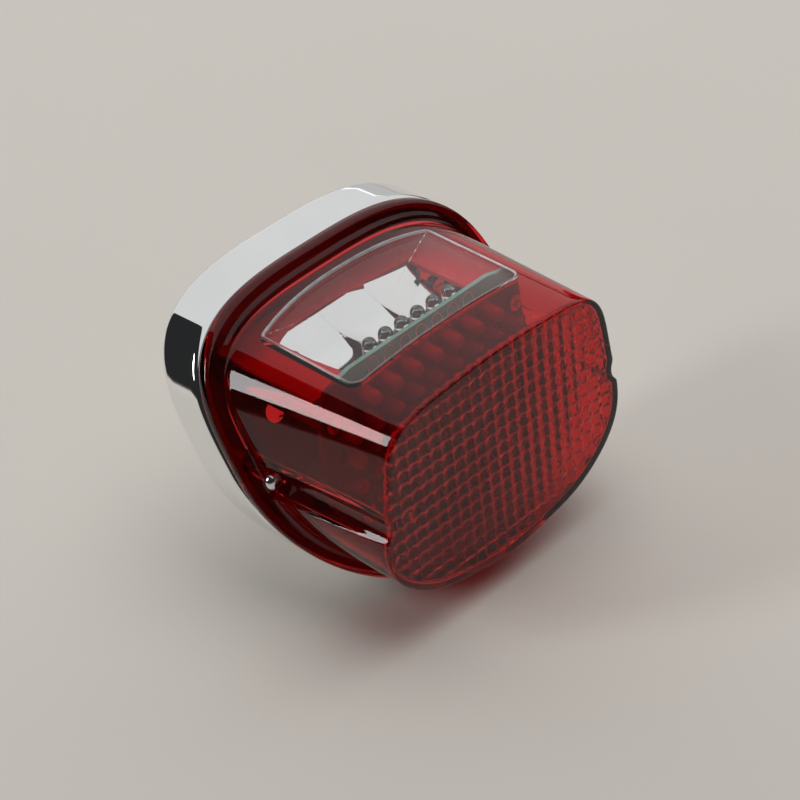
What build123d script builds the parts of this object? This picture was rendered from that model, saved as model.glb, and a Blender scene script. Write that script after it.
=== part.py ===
"""LED tail light for a motorcycle: chrome base, deep red lens, clear number-plate window on top.

Frame: millimetres, +Z up, -Y is the way the light shines, +Y is toward the fender.
The mounting plane slopes (its top lies further back). The origin is on that plane,
midway between the two mounting holes. The part is symmetric about X = 0.
"""
from build123d import *
import math
import os

# ---------------------------------------------------------------- driving dimensions
WIDTH = 127.0                # overall width of base and lens flange
SLOPE = 0.594                # dy/dz of the mounting plane and of the lens joint
BASE_DEPTH = 17.7            # base depth, measured along Y
WALL = 2.2                   # base wall
PLATE_Y = 3.0                # base back plate, measured along Y

RIM_A = WIDTH / 2            # flange outline: two half super-ellipses
RIM_UP, RIM_DOWN = 44.85, 53.2
RIM_NU, RIM_NL = 3.18, 1.90
RIM_ZC = 1.26

GASKET_T = 1.0               # lens gasket thickness along Y
FLANGE_T = 4.0               # lens flange thickness along Y
FLANGE_W = 5.7               # visible flange width
LENS_WALL = 2.8
FACE_Y = -72.8               # outer face of the lens
FACE_T = 3.6
# right half of the face outline, top centre to bottom centre (x, z)
FACE_HALF = [(0, 36.4), (6.5, 36.35), (13.1, 36.1), (19.6, 35.7), (26.1, 35.2), (32.6, 34.6),
             (39.1, 33.2), (44.6, 30.3), (48.2, 25.4), (49.9, 19.4), (50.9, 12.9), (51.8, 6.4),
             (52.8, 0.1), (53.6, -6.3), (53.4, -12.8), (51.5, -18.9), (47.9, -24.3), (43.2, -28.8),
             (37.9, -32.4), (32.2, -35.2), (25.9, -37.2), (19.4, -38.5), (12.9, -39.6), (6.5, -40.5),
             (0, -40.9)]

SCREW_X, SCREW_Z = 55.8, 0.0
GROOVE_X, GROOVE_R = 57.0, 5.8
SEAT_Y = -25.4               # face the lens screw heads bear on
SCREW_R, SCREW_HOLE_R = 1.75, 1.85
SCREW_HEAD_R, SCREW_HEAD_H = 3.1, 2.5
BOSS_TOP_Y = -14.0

WIN_X = 38.0                 # number-plate window, seen from above
WIN_FRONT_Y, WIN_BACK_Y, WIN_CROWN_Y = -50.0, -7.6, -3.2

BOARD_Y = -38.6              # rear face of the circuit board
BOARD_T = 1.6
BOARD_TOP = 33.0
LED_R, LED_PITCH = 2.5, 9.2
PLATE_LED_R, PLATE_LED_PITCH = 2.4, 7.14
PLATE_LED_Y, PLATE_LED_Z = -35.7, 32.6

STANDOFFS = [(-41.0, 19.0), (41.0, 19.0), (-30.0, -20.0), (30.0, -20.0)]
STANDOFF_R, STANDOFF_HOLE_R = 2.75, 1.5
SEATS = {19.0: 2.0, -20.0: -21.0}      # front face (Y) of the base bosses, by boss height Z

REF_R, REF_PITCH, REF_T = 9.5, 18.0, 1.8
REF_BACK, REF_FRONT = (-5.0, 28.0), (-24.0, 19.5)   # trough bottom line (y, z)
REF_HALF, REF_WING_Y = 44.0, -37.4     # half width of the deck and front edge of its wings
REF_POST = (33.0, 19.0)
REF_EAR_Y = -12.0

MOUNT_PCD, MOUNT_R = 63.5, 3.3
TERM_Z = -14.0               # height of the terminal block on the mounting plane

RUBBER_GAP = 0.8


# ---------------------------------------------------------------- outlines
def rim_half(n):
    """Right half of the flange outline, top to bottom, n points evenly spaced along it."""
    dense = []
    for i in range(2001):
        a = math.pi / 2 - math.pi * i / 2000
        c, s = max(math.cos(a), 0.0), math.sin(a)
        e, b = (RIM_NU, RIM_UP) if s >= 0 else (RIM_NL, RIM_DOWN)
        dense.append((RIM_A * c ** (2 / e), RIM_ZC + b * math.copysign(abs(s) ** (2 / e), s)))
    return resample(dense, n)


def resample(points, n):
    d = [0.0]
    for p, q in zip(points, points[1:]):
        d.append(d[-1] + math.dist(p, q))
    out, j = [], 0
    for i in range(n):
        t = d[-1] * i / (n - 1)
        while j < len(d) - 2 and d[j + 1] < t:
            j += 1
        f = (t - d[j]) / (d[j + 1] - d[j])
        out.append(tuple(p + (q - p) * f for p, q in zip(points[j], points[j + 1])))
    return out


def closed(half):
    """Mirror a right half (top centre to bottom centre) into a closed list, clockwise from +Z."""
    return [tuple(p) for p in half] + [(-x, z) for x, z in reversed(half[1:-1])]


def inset(points, d):
    """Move a closed outline inward by d, along its local normals."""
    n = len(points)
    out = []
    for i, (x, z) in enumerate(points):
        (x0, z0), (x1, z1) = points[i - 1], points[(i + 1) % n]
        tx, tz = x1 - x0, z1 - z0
        length = math.hypot(tx, tz)
        out.append((x - d * tz / length, z + d * tx / length))
    return out


N_HALF = 21                  # outline points per half; each smooth arc spans two gaps
RIM = closed(rim_half(N_HALF))
FACE = closed(resample(FACE_HALF, N_HALF))
INSIDE = -1.0 if inset(RIM, 1.0)[0][1] > RIM[0][1] else 1.0


def arcs(points):
    """Closed wire of circular arcs, each through three neighbouring points."""
    n = len(points)
    return Wire([ThreePointArc(points[i], points[i + 1], points[(i + 2) % n]) for i in range(0, n, 2)])


def ring(points, off, y0, slope=SLOPE):
    """The outline moved in by off, laid on the plane y = y0 + slope * z."""
    pts = inset(points, INSIDE * off) if off else points
    return arcs([Vector(x, y0 + slope * z, z) for x, z in pts])


def slab(y_front, y_back, slope=SLOPE):
    """Everything between the planes y = y_front + slope * z and y = y_back + slope * z."""
    h = 90.0
    corners = [(y_front - slope * h, -h), (y_back - slope * h, -h), (y_back + slope * h, h), (y_front + slope * h, h)]
    return Solid.extrude(Face(Wire.make_polygon([Vector(-100, y, z) for y, z in corners], close=True)), Vector(200, 0, 0))


def prism(points, off, y_front, y_back, slope=SLOPE):
    """Solid with the outline's section, straight along Y, between two parallel planes."""
    column = Solid.extrude(Face(ring(points, off, -150, 0)), Vector(0, 300, 0))
    return column & slab(y_front, y_back, slope)


def tube_y(x, z, r, y0, y1):
    """Cylinder along Y from y0 to y1."""
    return Solid.make_cylinder(r, abs(y1 - y0), Plane(origin=(x, min(y0, y1), z), z_dir=(0, 1, 0)))


def box(x0, x1, y0, y1, z0, z1):
    return Solid.make_box(x1 - x0, y1 - y0, z1 - z0, Plane(origin=(x0, y0, z0)))


def base_y(z):
    """Outer face of the back plate at height z."""
    return SLOPE * z


NORMAL = Vector(0, 1, -SLOPE).normalized()          # outward from the mounting plane


def back_frame(x, z):
    """Plane on the mounting face at height z: local Z points out of the back."""
    return Plane(origin=(x, base_y(z), z), x_dir=(1, 0, 0), z_dir=NORMAL)


def one(shape):
    """The single solid of a boolean result."""
    s = shape.solids()
    return max(s, key=lambda v: v.volume)


def group(solids):
    return Compound(children=list(solids)) if len(solids) > 1 else solids[0]


NODES = {}

# ---------------------------------------------------------------- base housing
outer = prism(RIM, 0, -BASE_DEPTH, 0)
cavity = prism(RIM, WALL, -BASE_DEPTH - 5, -PLATE_Y)
base = outer - cavity
inside = prism(RIM, WALL - 0.3, -BASE_DEPTH - 60, -PLATE_Y / 2)      # everything the bosses may fill
for x, z in STANDOFFS:
    base += tube_y(x, z, 4.2, SEATS[z], 40) & inside
for x in (-REF_POST[0], REF_POST[0]):
    base += tube_y(x, REF_POST[1], 3.3, REF_EAR_Y, 40) & inside
for s in (-1, 1):
    boss = tube_y(s * SCREW_X, SCREW_Z, 4.6, BOSS_TOP_Y, 20) + box(*sorted((s * SCREW_X, s * 63)), BOSS_TOP_Y, 20, -2.2, 2.2)
    base += boss & inside
# threaded holes and through holes
for x, z in STANDOFFS:
    base -= tube_y(x, z, 1.3, SEATS[z] - 1, SEATS[z] + 5)
for x in (-REF_POST[0], REF_POST[0]):
    base -= tube_y(x, REF_POST[1], 1.3, REF_EAR_Y - 1, REF_EAR_Y + 9)
for s in (-1, 1):
    base -= tube_y(s * SCREW_X, SCREW_Z, SCREW_HOLE_R, BOSS_TOP_Y - 1, -5.2)
    base -= back_frame(s * MOUNT_PCD / 2, 0) * Solid.make_cylinder(MOUNT_R, 20, Plane(origin=(0, 0, -10)))
base -= back_frame(0, TERM_Z) * Solid.make_box(18.2, 12.2, 12, Plane(origin=(-9.1, -6.1, -6)))
NODES["base_housing"] = one(base)

# ---------------------------------------------------------------- terminal block and blades
tf = back_frame(0, TERM_Z)
block = tf * Solid.make_box(18, 12, 8.0, Plane(origin=(-9, -6, -8.0)))
block += tf * Solid.make_box(22, 16, 1.6, Plane(origin=(-11, -8, -2.58 - 1.6)))
blades, TERM_XS = [], (-5.6, 0.0, 5.6)
for x in TERM_XS:
    blade = tf * Solid.make_box(0.8, 6.3, 16.5, Plane(origin=(x - 0.4, -3.15, -10.0)))
    blades.append(blade)
    block -= blade
NODES["terminal_block"] = one(block)
NODES["terminal_blades"] = group(blades)

# ---------------------------------------------------------------- lens gasket
g = prism(RIM, RUBBER_GAP, -BASE_DEPTH - GASKET_T, -BASE_DEPTH) - prism(RIM, 3.4, -BASE_DEPTH - GASKET_T - 2, -BASE_DEPTH + 2)
NODES["lens_gasket"] = one(g)

# ---------------------------------------------------------------- lens and number-plate window
y_fl_back = -BASE_DEPTH - GASKET_T
y_fl_front = y_fl_back - FLANGE_T
shell_out = Solid.make_loft([ring(RIM, FLANGE_W, y_fl_front + 1.0), ring(FACE, 0, FACE_Y, 0)], ruled=True)
flange = prism(RIM, 0, y_fl_front, y_fl_back)
cav = Solid.make_loft([ring(RIM, FLANGE_W + LENS_WALL, y_fl_back + 0.5), ring(FACE, LENS_WALL, FACE_Y + FACE_T, 0)], ruled=True)
body = shell_out + flange - cav
rim_column = prism(RIM, 0, -120, y_fl_back)
bottom_line = Line((-WIN_X, WIN_FRONT_Y, 0), (WIN_X, WIN_FRONT_Y, 0))
right_line = Line((WIN_X, WIN_FRONT_Y, 0), (WIN_X, WIN_BACK_Y, 0))
back_arc = ThreePointArc((WIN_X, WIN_BACK_Y, 0), (0, WIN_CROWN_Y, 0), (-WIN_X, WIN_BACK_Y, 0))
left_line = Line((-WIN_X, WIN_BACK_Y, 0), (-WIN_X, WIN_FRONT_Y, 0))
win_face = Face(Wire([bottom_line, right_line, back_arc, left_line]))
front_corners = [v for v in win_face.vertices() if abs(v.Y - WIN_FRONT_Y) < 0.1]
win_face = win_face.fillet_2d(5.0, front_corners)
back_corners = [v for v in win_face.vertices() if abs(v.Y - WIN_BACK_Y) < 0.1]
win_face = win_face.fillet_2d(2.0, back_corners)
win_prism = Solid.extrude(win_face, Vector(0, 0, 60))
window = body & win_prism
body = body - win_prism
for s in (-1, 1):
    # moulded channel for the screwdriver: a wall around a half-round groove, ending at the screw seat
    wall = tube_y(s * GROOVE_X, SCREW_Z, GROOVE_R + 2.4, FACE_Y + 0.5, y_fl_front + 1.5)
    body += wall & shell_out
    body += tube_y(s * GROOVE_X, SCREW_Z, GROOVE_R + 2.4, SEAT_Y, y_fl_back - 0.5) & rim_column
    body -= tube_y(s * GROOVE_X, SCREW_Z, GROOVE_R, FACE_Y - 5, SEAT_Y)
    body += tube_y(s * SCREW_X, SCREW_Z, 3.3, y_fl_back - 2, BOSS_TOP_Y)
    body -= tube_y(s * SCREW_X, SCREW_Z, 2.0, SEAT_Y - 2, BOSS_TOP_Y + 2)
NODES["lens_body"] = one(body)
NODES["plate_window"] = one(window)

# ---------------------------------------------------------------- lens screws and their seals
screws, seals = [], []
for s in (-1, 1):
    seal_t = 0.6
    seal = tube_y(s * SCREW_X, SCREW_Z, 2.9, SEAT_Y - seal_t, SEAT_Y) - tube_y(s * SCREW_X, SCREW_Z, 2.0, SEAT_Y - 2, SEAT_Y + 1)
    seals.append(one(seal))
    y_head = SEAT_Y - seal_t
    head = tube_y(s * SCREW_X, SCREW_Z, SCREW_HEAD_R, y_head - SCREW_HEAD_H, y_head)
    front = [e for e in head.edges() if abs(e.center().Y - (y_head - SCREW_HEAD_H)) < 0.01 and e.length > 10]
    head = head.fillet(1.2, front)
    head += tube_y(s * SCREW_X, SCREW_Z, SCREW_R, y_head - 0.5, -6.4)
    for w, h in ((4.2, 0.8), (0.8, 4.2)):
        head -= box(s * SCREW_X - w / 2, s * SCREW_X + w / 2, y_head - 5, y_head - SCREW_HEAD_H + 1.3, SCREW_Z - h / 2, SCREW_Z + h / 2)
    screws.append(one(head))
NODES["lens_screws"] = group(screws)
NODES["screw_seals"] = group(seals)

# ---------------------------------------------------------------- circuit board
half = [(0, BOARD_TOP), (31, BOARD_TOP), (41.5, 30.4), (45, 24), (45.8, 2), (44, -12), (38, -25), (24, -31), (0, -31)]
outline = half + [(-x, z) for x, z in reversed(half[1:-1])]
board = Solid.extrude(Face(Wire.make_polygon([Vector(x, BOARD_Y - BOARD_T, z) for x, z in outline], close=True)), Vector(0, BOARD_T, 0))
for x, z in STANDOFFS:
    board -= tube_y(x, z, 1.6, BOARD_Y - 5, BOARD_Y + 5)
NODES["led_board"] = one(board)

# LEDs of the running and stop light, on the front of the board
front_y = BOARD_Y - BOARD_T
leds = []
LED_POS = []
rows = [-22.5, -13.3, -4.1, 5.1, 14.3, 23.5]
for r, z in enumerate(rows):
    for c in range(9):
        x = (c - 4) * LED_PITCH
        if r == 0 and abs(c - 4) > 2:
            continue
        if r == 1 and abs(c - 4) > 3:
            continue
        if any(math.dist((x, z), p) < 6.2 for p in STANDOFFS):
            continue
        LED_POS.append((x, z))
        led = tube_y(x, z, 2.9, front_y - 1.0, front_y)
        led += tube_y(x, z, LED_R, front_y - 6.0, front_y - 0.5)
        led += Solid.make_sphere(LED_R, Plane(origin=(x, front_y - 6.0, z)), -90, 90, 360)
        leds.append(one(led))
NODES["brake_leds"] = group(leds)

# LEDs that light the number plate, standing behind the board's top edge
plate_leds = []
for i in range(6):
    x = (i - 2.5) * PLATE_LED_PITCH
    led = Solid.make_cylinder(PLATE_LED_R, PLATE_LED_Z - 27.0, Plane(origin=(x, PLATE_LED_Y, 27.0)))
    led += Solid.make_cylinder(2.8, 1.0, Plane(origin=(x, PLATE_LED_Y, 26.4)))
    led += Solid.make_sphere(PLATE_LED_R, Plane(origin=(x, PLATE_LED_Y, PLATE_LED_Z)), -90, 90, 360)
    for dx in (-1.27, 1.27):
        led += box(x + dx - 0.25, x + dx + 0.25, PLATE_LED_Y - 0.25, PLATE_LED_Y + 0.25, 24.0, 26.6)
        led += box(x + dx - 0.25, x + dx + 0.25, PLATE_LED_Y - 2.9, PLATE_LED_Y + 0.25, 23.8, 24.3)
    plate_leds.append(one(led))
NODES["plate_leds"] = group(plate_leds)

# parts on the back of the board
back_parts = [box(x - 1.6, x + 1.6, BOARD_Y, BOARD_Y + 0.6, z - 0.8, z + 0.8)
              for x, z in ((-27, 4), (-20, 4), (-13, 4), (13, 4), (20, 4), (27, 4), (-27, -6), (-20, -6), (20, -6), (27, -6))]
NODES["resistors"] = group(back_parts)
NODES["diodes"] = group([box(x - 2.2, x + 2.2, BOARD_Y, BOARD_Y + 2.2, -17.3, -14.7) for x in (-17.0, 17.0)])
NODES["regulator"] = one(box(-3.3, 3.3, BOARD_Y, BOARD_Y + 2.3, -27.0, -21.0) + box(-2.7, 2.7, BOARD_Y, BOARD_Y + 1.0, -21.5, -19.6))
NODES["capacitor"] = tube_y(13.0, -23.5, 3.15, BOARD_Y, BOARD_Y + 7.0)
header = box(-8.6, 8.6, BOARD_Y, BOARD_Y + 6.0, -12.4, -5.6)
NODES["board_header"] = header

# ---------------------------------------------------------------- standoffs and board screws
stand, bscrews = [], []
for x, z in STANDOFFS:
    post = Solid.extrude(Face(Wire.make_polygon([Vector(x + 3.2 * math.cos(math.radians(60 * k + 30)), BOARD_Y, z + 3.2 * math.sin(math.radians(60 * k + 30))) for k in range(6)], close=True)), Vector(0, SEATS[z] - BOARD_Y, 0))
    post += tube_y(x, z, 1.25, SEATS[z] - 0.5, SEATS[z] + 4.5)
    post -= tube_y(x, z, STANDOFF_HOLE_R, BOARD_Y - 1, BOARD_Y + 7)
    stand.append(one(post))
    sc = tube_y(x, z, 2.7, front_y - 1.8, front_y)
    sc += tube_y(x, z, STANDOFF_HOLE_R - 0.05, front_y - 0.5, BOARD_Y + 5)
    sc -= box(x - 1.9, x + 1.9, front_y - 3, front_y - 0.9, z - 0.4, z + 0.4)
    sc -= box(x - 0.4, x + 0.4, front_y - 3, front_y - 0.9, z - 1.9, z + 1.9)
    bscrews.append(one(sc))
NODES["board_standoffs"] = group(stand)
NODES["board_screws"] = group(bscrews)

# ---------------------------------------------------------------- number-plate light reflector
(yb, zb), (yf, zf) = REF_BACK, REF_FRONT
run = math.hypot(yb - yf, zb - zf)
d = Vector(0, (yf - yb) / run, (zf - zb) / run)          # down the troughs, toward the board
n = Vector(0, d.Z, -d.Y)                                 # out of the troughs
if n.Z < 0:
    n = -n
start = Vector(0, yb, zb) - d * 8 + n * REF_R


def trough(x, r):
    return Solid.make_cylinder(r, run + 24, Plane(origin=start + Vector(x, 0, 0), x_dir=(1, 0, 0), z_dir=d))


xs = (-REF_PITCH, 0.0, REF_PITCH)
shell = trough(xs[0], REF_R + REF_T) + trough(xs[1], REF_R + REF_T) + trough(xs[2], REF_R + REF_T)
# keep what lies below the lips: a box from the lip plane downward
lips = start - n * 3.05
keep = Plane(origin=lips, x_dir=(1, 0, 0), z_dir=-n) * Solid.make_box(80, 160, 60, Plane(origin=(-40, -80, 0)))
shell = shell & keep
for x in xs:
    shell -= trough(x, REF_R)
shell = shell & box(-60, 60, REF_FRONT[0], REF_BACK[0], -10, 60)
deck = box(-REF_HALF, REF_HALF, REF_BACK[0] - 0.5, 8.0, REF_BACK[1] - REF_T, REF_BACK[1])
for s in (-1, 1):
    deck += box(*sorted((s * 27.0, s * REF_HALF)), REF_WING_Y, REF_BACK[0], REF_BACK[1] - REF_T, REF_BACK[1])
for x in xs:
    deck -= trough(x, REF_R)
shell += deck
for s in (-1, 1):
    shell += box(*sorted((s * 26.4, s * 37.0)), REF_EAR_Y - 1.8, REF_EAR_Y, 14.2, 27.5)
    shell -= tube_y(s * REF_POST[0], REF_POST[1], 1.5, REF_EAR_Y - 5, REF_EAR_Y + 5)
NODES["plate_reflector"] = one(shell)
rs = []
for s in (-1, 1):
    sc = tube_y(s * REF_POST[0], REF_POST[1], 2.5, REF_EAR_Y - 1.8 - 1.7, REF_EAR_Y - 1.8)
    sc += tube_y(s * REF_POST[0], REF_POST[1], 1.25, REF_EAR_Y - 2.5, REF_EAR_Y + 8)
    sc -= box(s * REF_POST[0] - 1.8, s * REF_POST[0] + 1.8, REF_EAR_Y - 6, REF_EAR_Y - 2.7, REF_POST[1] - 0.4, REF_POST[1] + 0.4)
    rs.append(one(sc))
NODES["reflector_screws"] = group(rs)

# ---------------------------------------------------------------- leads from the board to the terminal block
LEAD_R = 0.85
header_y = BOARD_Y + 6.0
tip = tf.origin - NORMAL * 10.0
for name, x0, x1 in (("lead_running", -5.6, TERM_XS[0]), ("lead_stop", 0.0, TERM_XS[1]), ("lead_ground", 5.6, TERM_XS[2])):
    pts = [Vector(x0, header_y, -9.0), Vector(x0, header_y + 5.2, -9.0),
           Vector(x1, tip.Y - NORMAL.Y * 5.0, tip.Z - NORMAL.Z * 5.0), Vector(x1, tip.Y, tip.Z)]
    radii = []
    for a, b, c in zip(pts, pts[1:], pts[2:]):
        u, v = b - a, c - b
        ang = math.radians(u.get_angle(v))
        radii.append(0.45 * min(u.length, v.length) / math.tan(ang / 2))
    path = FilletPolyline(*pts, radius=radii)
    section = Face(Wire([Edge.make_circle(LEAD_R, Plane(origin=pts[0], z_dir=(0, 1, 0)))]))
    lead = Solid.sweep(section, path if isinstance(path, Wire) else Wire(path.edges()))
    print(name, "radii", [round(r, 1) for r in radii], "volume", round(lead.volume, 2), "section x length", round(math.pi * LEAD_R ** 2 * path.length, 2))
    NODES[name] = lead

# ---------------------------------------------------------------- write
os.makedirs("parts", exist_ok=True)
for name, shape in NODES.items():
    export_step(shape, "parts/%s.step" % name)
    print(name, round(shape.volume, 1), len(shape.solids()))
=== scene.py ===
import math

import bmesh
import bpy
import numpy as np
from mathutils import Matrix, Vector


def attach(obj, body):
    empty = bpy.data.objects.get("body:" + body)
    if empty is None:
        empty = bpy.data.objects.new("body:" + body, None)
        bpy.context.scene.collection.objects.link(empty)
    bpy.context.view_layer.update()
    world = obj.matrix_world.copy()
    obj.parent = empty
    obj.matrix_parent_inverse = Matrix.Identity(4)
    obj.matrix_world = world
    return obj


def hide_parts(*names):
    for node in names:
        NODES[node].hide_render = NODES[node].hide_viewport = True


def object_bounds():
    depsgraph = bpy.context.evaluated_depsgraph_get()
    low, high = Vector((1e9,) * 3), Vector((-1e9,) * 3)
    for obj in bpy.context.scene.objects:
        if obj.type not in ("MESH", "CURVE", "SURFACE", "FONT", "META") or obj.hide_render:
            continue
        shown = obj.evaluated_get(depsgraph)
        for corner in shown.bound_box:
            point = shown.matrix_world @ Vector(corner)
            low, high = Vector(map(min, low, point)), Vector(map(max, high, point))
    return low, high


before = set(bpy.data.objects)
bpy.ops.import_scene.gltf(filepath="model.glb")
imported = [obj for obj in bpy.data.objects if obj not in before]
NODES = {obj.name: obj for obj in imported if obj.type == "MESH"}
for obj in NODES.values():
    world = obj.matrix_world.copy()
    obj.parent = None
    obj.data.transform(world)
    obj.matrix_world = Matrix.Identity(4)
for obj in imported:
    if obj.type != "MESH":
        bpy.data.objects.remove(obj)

cad_lo, cad_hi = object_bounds()
MM = 0.001

# ------------------------------------------------------------------ outlines, in millimetres
SLOPE = 0.594
BASE_D, WALL_B, PLATE_Y = 17.7, 2.2, 3.0
Y_FB, Y_FF = -18.7, -22.7                 # lens flange, rear and front planes, at z = 0
FLANGE_W, LENS_T = 5.7, 2.8
FACE_Y, FACE_T = -72.8, 3.6
GX, GR = 57.0, 5.8                        # screw groove
SEAT_Y = -25.4
SX = 55.8                                 # screw axis
H_SIDE = 9.0


def rim_dense(n=4001):
    a = math.pi / 2 - math.pi * np.arange(n) / (n - 1)
    c, s = np.clip(np.cos(a), 0, None), np.sin(a)
    e = np.where(s >= 0, 3.18, 1.90)
    b = np.where(s >= 0, 44.85, 53.2)
    return np.stack([63.5 * c ** (2 / e), 1.26 + b * np.sign(s) * np.abs(s) ** (2 / e)], 1)


FACE_HALF = [(0, 36.4), (6.5, 36.35), (13.1, 36.1), (19.6, 35.7), (26.1, 35.2), (32.6, 34.6),
             (39.1, 33.2), (44.6, 30.3), (48.2, 25.4), (49.9, 19.4), (50.9, 12.9), (51.8, 6.4),
             (52.8, 0.1), (53.6, -6.3), (53.4, -12.8), (51.5, -18.9), (47.9, -24.3), (43.2, -28.8),
             (37.9, -32.4), (32.2, -35.2), (25.9, -37.2), (19.4, -38.5), (12.9, -39.6), (6.5, -40.5),
             (0, -40.9)]


def face_dense(per=80):
    """A smooth closed curve through the face points, then its right half."""
    half = np.array(FACE_HALF, float)
    left = half[1:-1][::-1] * [-1, 1]
    p = np.vstack([half, left])
    n = len(p)
    a = np.zeros((n, n))
    for i in range(n):
        a[i, i], a[i, (i - 1) % n], a[i, (i + 1) % n] = 4, 1, 1
    m = np.linalg.solve(a, 3 * (np.roll(p, -1, 0) - np.roll(p, 1, 0)))
    out = []
    for i in range(len(half) - 1):
        t = np.linspace(0, 1, per, endpoint=False)[:, None]
        p0, p1, m0, m1 = p[i], p[(i + 1) % n], m[i], m[(i + 1) % n]
        out.append((2 * t**3 - 3 * t**2 + 1) * p0 + (t**3 - 2 * t**2 + t) * m0
                   + (-2 * t**3 + 3 * t**2) * p1 + (t**3 - t**2) * m1)
    out = np.vstack(out + [half[-1:]])
    return out


RIM_D, FACE_D = rim_dense(), face_dense()


def inset_half(dense, d):
    """The right half moved inward by d."""
    g = np.gradient(dense, axis=0)
    g[0], g[-1] = [1, 0], [-1, 0]
    g = g / np.maximum(np.linalg.norm(g, axis=1), 1e-9)[:, None]
    # travel is clockwise, so the inside is on the right
    return dense + d * np.stack([g[:, 1], -g[:, 0]], 1)


Z_SIDE = np.concatenate([np.linspace(H_SIDE, 6.7, 6), 6.3 * np.sin(np.radians(np.linspace(90, -90, 49))),
                         np.linspace(-6.7, -H_SIDE, 6)])
N1, N3 = 110, 100


def along(p, n):
    d = np.r_[0, np.cumsum(np.linalg.norm(np.diff(p, axis=0), axis=1))]
    t = np.linspace(0, d[-1], n)
    return np.stack([np.interp(t, d, p[:, 0]), np.interp(t, d, p[:, 1])], 1)


def ring_half(dense, d=0.0):
    p = inset_half(dense, d) if d else dense
    k = np.argmax(p[:, 0])
    up, dn = p[:, 1] > H_SIDE, p[:, 1] < -H_SIDE
    i1 = np.where(up)[0][-1] + 1
    i3 = np.where(dn)[0][0]
    x_at = lambda z: np.interp(z, p[i1 - 30:i3 + 30, 1][::-1], p[i1 - 30:i3 + 30, 0][::-1])
    top = np.vstack([p[:i1], [[x_at(H_SIDE), H_SIDE]]])
    bot = np.vstack([[[x_at(-H_SIDE), -H_SIDE]], p[i3:]])
    side = np.stack([x_at(Z_SIDE), Z_SIDE], 1)
    return np.vstack([along(top, N1)[:-1], side, along(bot, N3)[1:]])


def full(half):
    return np.vstack([half, half[1:-1][::-1] * [-1, 1]])


_cache = {}


def ring(kind, d=0.0):
    """(N, 2) closed outline in x, z; kind is rim or face."""
    key = (kind, round(d, 4))
    if key not in _cache:
        _cache[key] = full(ring_half(RIM_D if kind == "rim" else FACE_D, d))
    return _cache[key]


def on_slope(p2, y0):
    return np.stack([p2[:, 0], y0 + SLOPE * p2[:, 1], p2[:, 1]], 1)


def on_flat(p2, y):
    y = np.full(len(p2), y) if np.isscalar(y) else y
    return np.stack([p2[:, 0], y, p2[:, 1]], 1)


def smin(a, b, k):
    h = np.clip(0.5 + 0.5 * (b - a) / k, 0, 1)
    return b * (1 - h) + a * h - k * h * (1 - h)


def notched(p, grow=0.0, w=1.0, k=0.9):
    """Pulls the side wall in to the screw groove, a cylinder along Y."""
    q = p.copy()
    r = GR + grow
    ax, z = np.abs(p[:, 0]), np.abs(p[:, 2])
    xc = np.where(z < r, GX - np.sqrt(np.clip(r * r - z * z, 0, None)), GX + 5.0 * (z - r))
    new = smin(ax, xc, k)
    near = np.clip((H_SIDE - z) / 0.8, 0, 1) * (np.abs(p[:, 0]) > 30)
    q[:, 0] = np.sign(p[:, 0]) * (ax + (new - ax) * near * w)
    return q


# ------------------------------------------------------------------ mesh helpers
ALL = []


def finish_mesh(name, verts, faces, mats=(), face_mat=None, sharp=35.0, body="root", replaces=(), smooth=True):
    me = bpy.data.meshes.new(name)
    me.from_pydata((np.asarray(verts, float) * MM).tolist(), [], [list(map(int, f)) for f in faces])
    me.validate()
    ob = bpy.data.objects.new(name, me)
    bpy.context.scene.collection.objects.link(ob)
    for m in mats:
        me.materials.append(m)
    if face_mat is not None:
        me.polygons.foreach_set("material_index", np.asarray(face_mat, dtype=np.int32))
    tidy(ob, sharp, smooth)
    if body:
        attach(ob, body)
    if replaces:
        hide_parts(*replaces)
    ALL.append(ob)
    return ob


def tidy(ob, sharp=35.0, smooth=True):
    me = ob.data
    bm = bmesh.new()
    bm.from_mesh(me)
    bmesh.ops.recalc_face_normals(bm, faces=bm.faces)
    bm.to_mesh(me)
    bm.free()
    if smooth:
        me.polygons.foreach_set("use_smooth", [True] * len(me.polygons))
        me.set_sharp_from_angle(angle=math.radians(sharp))
    me.update()


def skin(rings, cap0=None, cap1=None, base=0):
    """Quads between equal closed rings; cap0 and cap1 are optional centre points. Returns verts, faces, ring index of each face."""
    n = len(rings[0])
    verts = np.vstack(rings)
    idx = np.arange(n)
    nxt = (idx + 1) % n
    faces, tag = [], []
    for r in range(len(rings) - 1):
        a, b = r * n, (r + 1) * n
        f = np.stack([a + idx, a + nxt, b + nxt, b + idx], 1)
        faces.extend(f.tolist())
        tag.extend([r] * n)
    if cap0 is not None:
        c = len(verts)
        verts = np.vstack([verts, [cap0]])
        faces.extend([[c, int(j), int(i)] for i, j in zip(idx, nxt)])
        tag.extend([-1] * n)
    if cap1 is not None:
        c = len(verts)
        verts = np.vstack([verts, [cap1]])
        o = (len(rings) - 1) * n
        faces.extend([[c, o + int(i), o + int(j)] for i, j in zip(idx, nxt)])
        tag.extend([len(rings)] * n)
    if base:
        faces = [[v + base for v in f] for f in faces]
    return verts, faces, tag


def lathe(profile, centre, axis, n=48):
    """Closed solid of revolution. profile: (radius, distance along axis), first and last on the axis."""
    axis = np.asarray(axis, float) / np.linalg.norm(axis)
    ref = np.array([1.0, 0, 0]) if abs(axis[0]) < 0.9 else np.array([0, 1.0, 0])
    u = np.cross(axis, ref); u /= np.linalg.norm(u)
    v = np.cross(axis, u)
    a = 2 * math.pi * np.arange(n) / n
    rings = [centre + axis * h + r * (np.cos(a)[:, None] * u + np.sin(a)[:, None] * v) for r, h in profile[1:-1]]
    c0 = centre + axis * profile[0][1]
    c1 = centre + axis * profile[-1][1]
    return skin(rings, c0, c1)[:2]


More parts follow.
